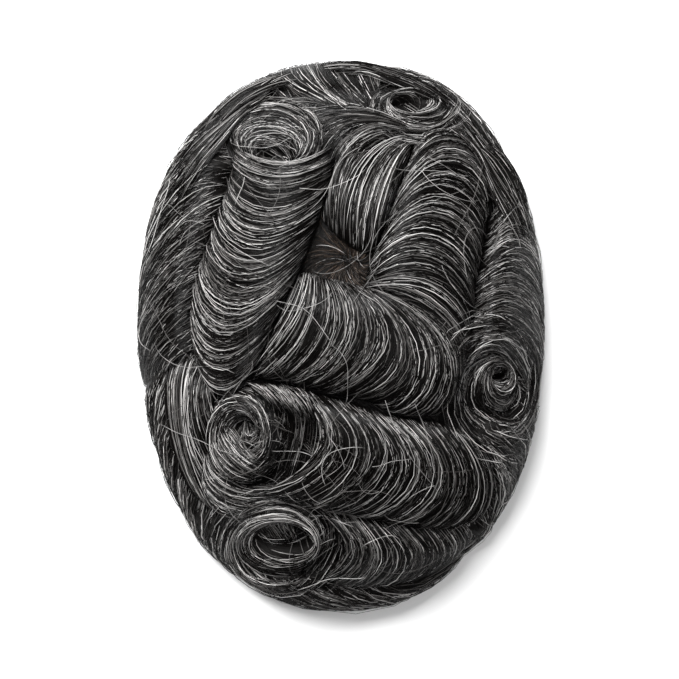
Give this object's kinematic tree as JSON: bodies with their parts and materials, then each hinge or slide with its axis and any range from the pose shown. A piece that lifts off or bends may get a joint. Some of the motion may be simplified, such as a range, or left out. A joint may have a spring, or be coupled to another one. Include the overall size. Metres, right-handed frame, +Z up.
{
  "type": "wave-set toupee hairpiece on a closed dome base",
  "caption": "A short greying toupee, set in rolled waves and curls over a thin domed base that is open below for the wearer's crown.",
  "frame": {"origin": "On the surface that the hairpiece rests on, under the middle of its bounding box", "axes": "+Z up, +Y to the back of the head, -Y to the front hairline, +X to the right of the piece seen from above with its hairline nearest"},
  "size_m": [0.1774, 0.24, 0.073],
  "materials": {
    "greying_hair": "glossy fine strands, near black mixed with grey",
    "hair_roots": "dense dark short hair",
    "base_skin": "thin matt skin-toned base"
  },
  "bodies": {
    "root": {"base_cap": "base_skin", "root_bed": "hair_roots", "left_barrel_curl": "greying_hair", "centre_wave": "greying_hair", "right_wave": "greying_hair", "crown_back_wave": "greying_hair", "front_wave": "greying_hair", "barrel_curl_mouth": "greying_hair", "front_left_whorl": "greying_hair", "right_whorl": "greying_hair", "back_whorl": "greying_hair", "front_under_whorl": "greying_hair", "right_side_curl": "greying_hair", "back_band": "greying_hair", "back_sweep": "greying_hair", "front_left_lip": "greying_hair", "front_under_wave": "greying_hair", "back_right_band": "greying_hair", "left_band": "greying_hair", "left_long_lock": "greying_hair", "left_lower_band": "greying_hair", "front_rim_band": "greying_hair", "right_rim_band": "greying_hair"}
  },
  "joints": []
}
